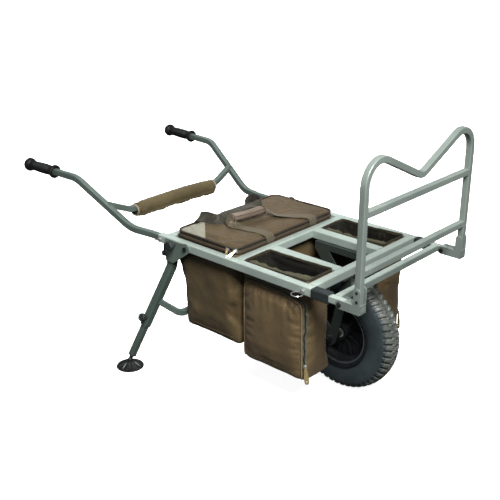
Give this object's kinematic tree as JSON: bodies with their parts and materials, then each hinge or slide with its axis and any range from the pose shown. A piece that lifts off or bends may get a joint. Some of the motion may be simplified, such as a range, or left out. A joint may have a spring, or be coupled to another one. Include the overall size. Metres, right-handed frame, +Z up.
{
  "type": "game cart",
  "caption": "Wheelbarrow-style field cart: a flat tube deck on a pneumatic wheel, with slide-out handles, adjustable legs, a folding rack and cloth bags.",
  "frame": {"origin": "on the ground, under the middle of the whole cart's box", "axes": "+X forward from the grips to the rack, +Y to the left, +Z up"},
  "size_m": [1.4242, 0.892, 0.8515],
  "materials": {
    "frame_paint": "satin grey-green paint with a slight metallic sheen, rubbed at bends and edges",
    "black_plastic": "moulded, lightly textured",
    "grip_rubber": "ribbed soft rubber",
    "rim_plastic": "satin moulded",
    "tyre": "block tread, faint mould lines",
    "zinc": "bright zinc plate",
    "bag_cloth": "coated woven polyester, brown-olive",
    "lid_cloth": "coated woven polyester, tan brown",
    "pad_cloth": "woven cover over foam, brown-olive"
  },
  "bodies": {
    "deck": {"side_rail_right": "frame_paint", "inner_rail_right": "frame_paint", "rail_bush_right": "black_plastic", "fork_right": "frame_paint", "leg_plate_right": "frame_paint", "leg_bolt_right": "zinc", "leg_tube_right": "frame_paint", "pouch_right": "bag_cloth", "side_rail_left": "frame_paint", "inner_rail_left": "frame_paint", "rail_bush_left": "black_plastic", "fork_left": "frame_paint", "leg_plate_left": "frame_paint", "leg_bolt_left": "zinc", "leg_tube_left": "frame_paint", "pouch_left": "bag_cloth", "rear_cross_rail": "frame_paint", "middle_cross_rail": "frame_paint", "front_cross_rail": "frame_paint", "axle": "zinc", "axle_nut": "zinc", "leg_cross_tube": "frame_paint"},
    "wheel": {"rim": "rim_plastic", "tyre": "tyre", "wheel_bearing_right": "zinc", "wheel_bearing_left": "zinc"},
    "handles": {"handle_right": "frame_paint", "handle_left": "frame_paint", "grip_right": "grip_rubber", "grip_left": "grip_rubber", "handle_cross_tube": "frame_paint", "handle_pad": "pad_cloth"},
    "extension": {"extension_rod_right": "frame_paint", "extension_rod_left": "frame_paint", "extension_cross_tube": "frame_paint", "rack_pivot_bolt_right": "zinc", "rack_pivot_bolt_left": "zinc"},
    "rack": {"rack_hoop": "frame_paint", "rack_bar_upper": "frame_paint", "rack_bar_lower": "frame_paint", "rack_bracket_right": "frame_paint", "rack_bracket_left": "frame_paint"},
    "bag": {"bag_body": "bag_cloth"},
    "bag_lid": {"bag_lid": "lid_cloth"},
    "leg_right": {"inner_leg_right": "frame_paint", "leg_plug_right": "black_plastic"},
    "foot_right": {"foot_right": "black_plastic"},
    "leg_left": {"inner_leg_left": "frame_paint", "leg_plug_left": "black_plastic"},
    "foot_left": {"foot_left": "black_plastic"},
    "plate_knob_right": {"plate_knob_right": "black_plastic"},
    "handle_knob_right": {"handle_knob_right": "black_plastic"},
    "leg_knob_right": {"leg_knob_right": "black_plastic"},
    "handle_pin_right": {"handle_pin_right": "zinc"},
    "rack_pin_right": {"rack_pin_right": "zinc"},
    "plate_knob_left": {"plate_knob_left": "black_plastic"},
    "handle_knob_left": {"handle_knob_left": "black_plastic"},
    "leg_knob_left": {"leg_knob_left": "black_plastic"},
    "handle_pin_left": {"handle_pin_left": "zinc"},
    "rack_pin_left": {"rack_pin_left": "zinc"}
  },
  "joints": [
    {"name": "wheel_spin", "type": "hinge", "parent": "deck", "child": "wheel", "pos_m": [0.46885, 0, 0.193], "axis": [0, 1, 0], "continuous": true},
    {"name": "handles_slide", "type": "slide", "parent": "deck", "child": "handles", "axis": [-1, 0, 0], "range_m": [0, 0.12]},
    {"name": "extension_slide", "type": "slide", "parent": "deck", "child": "extension", "axis": [1, 0, 0], "range_m": [0, 0.2]},
    {"name": "rack_fold", "type": "hinge", "parent": "extension", "child": "rack", "pos_m": [0.64485, 0, 0.4365], "axis": [0, -1, 0], "range_deg": [0, 90]},
    {"name": "leg_slide_right", "type": "slide", "parent": "deck", "child": "leg_right", "axis": [-0.2245, -0.3654, -0.9034], "range_m": [-0.06, 0.07]},
    {"name": "foot_tilt_right", "type": "hinge", "parent": "leg_right", "child": "foot_right", "pos_m": [-0.12215, -0.4, 0.025], "axis": [0, 1, 0], "range_deg": [-20, 20]},
    {"name": "leg_slide_left", "type": "slide", "parent": "deck", "child": "leg_left", "axis": [-0.2245, 0.3654, -0.9034], "range_m": [-0.06, 0.07]},
    {"name": "foot_tilt_left", "type": "hinge", "parent": "leg_left", "child": "foot_left", "pos_m": [-0.12215, 0.4, 0.025], "axis": [0, 1, 0], "range_deg": [-20, 20]},
    {"name": "plate_knob_turn_right", "type": "hinge", "parent": "deck", "child": "plate_knob_right", "pos_m": [-0.01215, -0.28, 0.4365], "axis": [0, -1, 0], "continuous": true},
    {"name": "handle_knob_turn_right", "type": "hinge", "parent": "deck", "child": "handle_knob_right", "pos_m": [-0.07015, -0.2665, 0.423], "axis": [0, 0, -1], "continuous": true},
    {"name": "leg_knob_turn_right", "type": "hinge", "parent": "deck", "child": "leg_knob_right", "pos_m": [-0.08549, -0.34032, 0.17252], "axis": [0.0431, -0.9298, 0.3654], "continuous": true},
    {"name": "handle_pin_pull_right", "type": "slide", "parent": "deck", "child": "handle_pin_right", "axis": [0, -1, 0], "range_m": [0, 0.045]},
    {"name": "rack_pin_pull_right", "type": "slide", "parent": "deck", "child": "rack_pin_right", "axis": [0, -1, 0], "range_m": [0, 0.045]},
    {"name": "plate_knob_turn_left", "type": "hinge", "parent": "deck", "child": "plate_knob_left", "pos_m": [-0.01215, 0.28, 0.4365], "axis": [0, 1, 0], "continuous": true},
    {"name": "handle_knob_turn_left", "type": "hinge", "parent": "deck", "child": "handle_knob_left", "pos_m": [-0.07015, 0.2665, 0.423], "axis": [0, 0, -1], "continuous": true},
    {"name": "leg_knob_turn_left", "type": "hinge", "parent": "deck", "child": "leg_knob_left", "pos_m": [-0.08549, 0.34032, 0.17252], "axis": [0.0431, 0.9298, 0.3654], "continuous": true},
    {"name": "handle_pin_pull_left", "type": "slide", "parent": "deck", "child": "handle_pin_left", "axis": [0, 1, 0], "range_m": [0, 0.045]},
    {"name": "rack_pin_pull_left", "type": "slide", "parent": "deck", "child": "rack_pin_left", "axis": [0, 1, 0], "range_m": [0, 0.045]},
    {"name": "bag_lift", "type": "slide", "parent": "deck", "child": "bag", "axis": [0, 0, 1], "range_m": [0, 0.34]},
    {"name": "lid_open", "type": "hinge", "parent": "bag", "child": "bag_lid", "pos_m": [0.09185, 0.247, 0.4546], "axis": [-1, 0, 0], "range_deg": [0, 95]}
  ]
}
